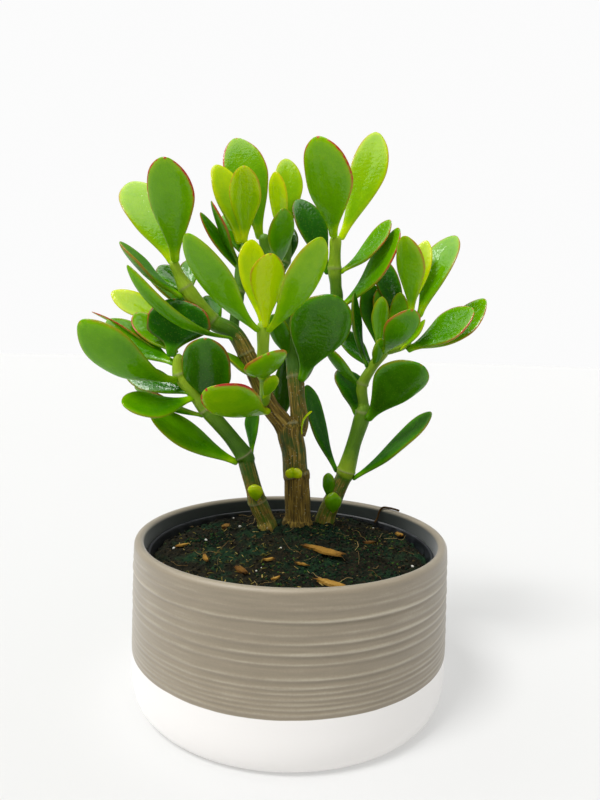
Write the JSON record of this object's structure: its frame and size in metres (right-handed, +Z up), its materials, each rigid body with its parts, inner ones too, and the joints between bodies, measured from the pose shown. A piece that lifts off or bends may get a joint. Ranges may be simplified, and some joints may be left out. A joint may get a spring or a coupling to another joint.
{
  "type": "potted jade plant",
  "caption": "Jade plant with woody branching stems and thick paddle-shaped leaves, growing in a low round two-colour ceramic cover pot with soil.",
  "frame": {"origin": "centre of the pot's flat underside", "axes": "+Z up along the pot's own axis, -Y to the front of the plant, +X to its right"},
  "size_m": [0.1974, 0.152, 0.283],
  "materials": {
    "stoneware": "matt warm grey glazed stoneware, bare off-white foot",
    "black_plastic": "matt black grow pot",
    "potting_soil": "dark damp potting soil with bark chips",
    "bark": "rough brown stem",
    "green_stem": "smooth fleshy green-brown stem",
    "jade_leaf": "waxy fleshy leaf with a red-brown edge",
    "young_leaf": "waxy yellow-green young leaf"
  },
  "bodies": {
    "root": {"pot": "stoneware", "grow_pot": "black_plastic", "soil": "potting_soil", "left_stem": "green_stem", "trunk": "bark", "left_limb": "bark", "middle_limb": "bark", "front_shoot": "green_stem", "inner_twig": "green_stem", "crown_twig": "green_stem", "back_right_limb": "green_stem", "right_stem": "green_stem", "right_twig": "green_stem", "leaf_low_left_1": "jade_leaf", "leaf_low_left_2": "jade_leaf", "leaf_low_left_3": "jade_leaf", "leaf_low_left_4": "jade_leaf", "leaf_low_left_5": "jade_leaf", "leaf_left_1": "jade_leaf", "leaf_left_2": "jade_leaf", "leaf_left_3": "jade_leaf", "leaf_left_4": "jade_leaf", "leaf_upper_left_1": "jade_leaf", "leaf_upper_left_2": "jade_leaf", "leaf_upper_left_3": "jade_leaf", "leaf_upper_left_4": "jade_leaf", "leaf_upper_left_5": "jade_leaf", "leaf_upper_left_6": "jade_leaf", "leaf_front_1": "young_leaf", "leaf_front_2": "young_leaf", "leaf_front_3": "young_leaf", "leaf_front_4": "young_leaf", "leaf_front_5": "young_leaf", "leaf_middle_1": "jade_leaf", "leaf_middle_2": "jade_leaf", "leaf_crown_1": "jade_leaf", "leaf_crown_2": "jade_leaf", "leaf_crown_3": "jade_leaf", "leaf_crown_4": "jade_leaf", "leaf_crown_5": "jade_leaf", "leaf_crown_6": "jade_leaf", "leaf_crown_7": "jade_leaf", "leaf_crown_8": "jade_leaf", "leaf_crown_9": "jade_leaf", "leaf_crown_10": "jade_leaf", "leaf_right_1": "jade_leaf", "leaf_right_2": "jade_leaf", "leaf_right_3": "jade_leaf", "leaf_right_4": "jade_leaf", "leaf_right_5": "jade_leaf", "leaf_right_6": "jade_leaf", "leaf_right_7": "jade_leaf", "leaf_right_8": "jade_leaf", "leaf_right_9": "jade_leaf", "leaf_right_10": "jade_leaf", "leaf_right_11": "jade_leaf", "leaf_right_12": "jade_leaf", "left_bud": "young_leaf", "trunk_bud": "young_leaf", "right_bud": "young_leaf"}
  },
  "joints": []
}
